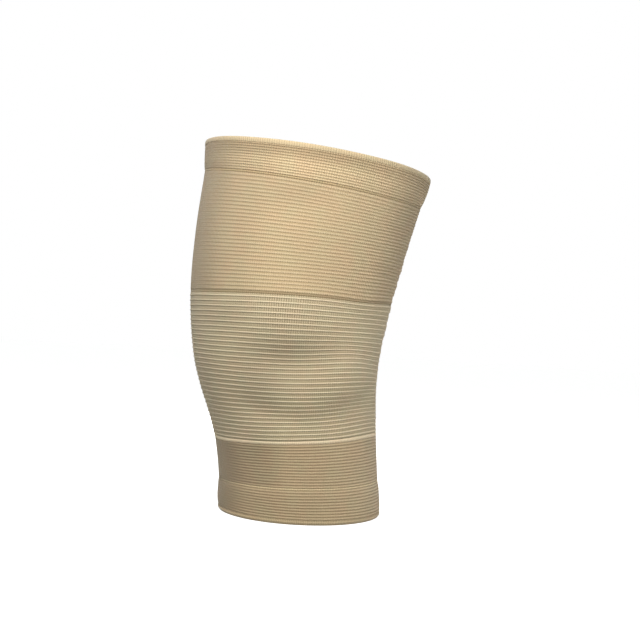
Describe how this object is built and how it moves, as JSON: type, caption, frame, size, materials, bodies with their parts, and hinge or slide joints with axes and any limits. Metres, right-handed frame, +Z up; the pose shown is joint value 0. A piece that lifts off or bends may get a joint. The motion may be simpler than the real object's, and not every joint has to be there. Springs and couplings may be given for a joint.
{
  "type": "knee brace",
  "caption": "Pull-on elastic knitted knee sleeve with turned hems, ribbed knee band and finely ribbed thigh and calf bands; it bends at the knee.",
  "frame": {"origin": "middle of the lower edge, in the plane the sleeve stands on", "axes": "+Z up the leg from calf to thigh, -Y towards the kneecap side, +X towards the outer side of a left leg"},
  "size_m": [0.1449, 0.1401, 0.2235],
  "materials": {
    "tan_knit": "matte",
    "knee_ground_knit": "matte",
    "cream_covered_thread": "matte",
    "rubber_thread": "matte",
    "seam_thread": "matte"
  },
  "bodies": {
    "calf_sleeve": {"bottom_edge_overlock": "seam_thread", "bottom_hem_outer_layer": "tan_knit", "bottom_hem_inner_layer": "tan_knit", "bottom_hem_elastic_threads": "rubber_thread", "bottom_hem_seam_stitching": "seam_thread", "calf_knit_band": "tan_knit", "calf_elastic_threads": "rubber_thread", "knee_calf_joining_course": "cream_covered_thread"},
    "knee_ring_1": {"knee_knit_ring_1": "knee_ground_knit", "knee_elastic_ribs_1": "cream_covered_thread"},
    "knee_ring_2": {"knee_knit_ring_2": "knee_ground_knit", "knee_elastic_ribs_2": "cream_covered_thread"},
    "knee_ring_3": {"knee_knit_ring_3": "knee_ground_knit", "knee_elastic_ribs_3": "cream_covered_thread"},
    "knee_ring_4": {"knee_knit_ring_4": "knee_ground_knit", "knee_elastic_ribs_4": "cream_covered_thread"},
    "knee_ring_5": {"knee_knit_ring_5": "knee_ground_knit", "knee_elastic_ribs_5": "cream_covered_thread"},
    "knee_ring_6": {"knee_knit_ring_6": "knee_ground_knit", "knee_elastic_ribs_6": "cream_covered_thread"},
    "thigh_sleeve": {"thigh_knee_joining_course": "seam_thread", "thigh_knit_band": "tan_knit", "thigh_elastic_threads": "rubber_thread", "top_hem_seam_stitching": "seam_thread", "top_hem_outer_layer": "tan_knit", "top_hem_inner_layer": "tan_knit", "top_hem_elastic_threads": "rubber_thread", "top_welt": "seam_thread"}
  },
  "joints": [
    {"name": "knee_flexion", "type": "hinge", "parent": "calf_sleeve", "child": "thigh_sleeve", "pos_m": [-0.0142, 0.016, 0.088], "axis": [-1, 0, 0], "range_deg": [0, 90], "stiffness_Nm_per_rad": 0.03, "deforming": ["knee_knit_ring_1", "knee_elastic_ribs_1", "knee_knit_ring_2", "knee_elastic_ribs_2", "knee_knit_ring_3", "knee_elastic_ribs_3", "knee_knit_ring_4", "knee_elastic_ribs_4", "knee_knit_ring_5", "knee_elastic_ribs_5", "knee_knit_ring_6", "knee_elastic_ribs_6"]},
    {"name": "knee_ring_1_turn", "type": "hinge", "parent": "calf_sleeve", "child": "knee_ring_1", "pos_m": [-0.0142, 0.016, 0.088], "axis": [-1, 0, 0], "range_deg": [0, 6.2]},
    {"name": "knee_ring_2_turn", "type": "hinge", "parent": "calf_sleeve", "child": "knee_ring_2", "pos_m": [-0.0142, 0.016, 0.088], "axis": [-1, 0, 0], "range_deg": [0, 19.1]},
    {"name": "knee_ring_3_turn", "type": "hinge", "parent": "calf_sleeve", "child": "knee_ring_3", "pos_m": [-0.0142, 0.016, 0.088], "axis": [-1, 0, 0], "range_deg": [0, 36.7]},
    {"name": "knee_ring_4_turn", "type": "hinge", "parent": "calf_sleeve", "child": "knee_ring_4", "pos_m": [-0.0142, 0.016, 0.088], "axis": [-1, 0, 0], "range_deg": [0, 55.7]},
    {"name": "knee_ring_5_turn", "type": "hinge", "parent": "calf_sleeve", "child": "knee_ring_5", "pos_m": [-0.0142, 0.016, 0.088], "axis": [-1, 0, 0], "range_deg": [0, 73.2]},
    {"name": "knee_ring_6_turn", "type": "hinge", "parent": "calf_sleeve", "child": "knee_ring_6", "pos_m": [-0.0142, 0.016, 0.088], "axis": [-1, 0, 0], "range_deg": [0, 86]}
  ],
  "couplings": [
    {"joint": "knee_ring_1_turn", "follows": "knee_flexion", "ratio": 0.0578},
    {"joint": "knee_ring_2_turn", "follows": "knee_flexion", "ratio": 0.2014},
    {"joint": "knee_ring_3_turn", "follows": "knee_flexion", "ratio": 0.3964},
    {"joint": "knee_ring_4_turn", "follows": "knee_flexion", "ratio": 0.6082},
    {"joint": "knee_ring_5_turn", "follows": "knee_flexion", "ratio": 0.8024},
    {"joint": "knee_ring_6_turn", "follows": "knee_flexion", "ratio": 0.9445}
  ]
}
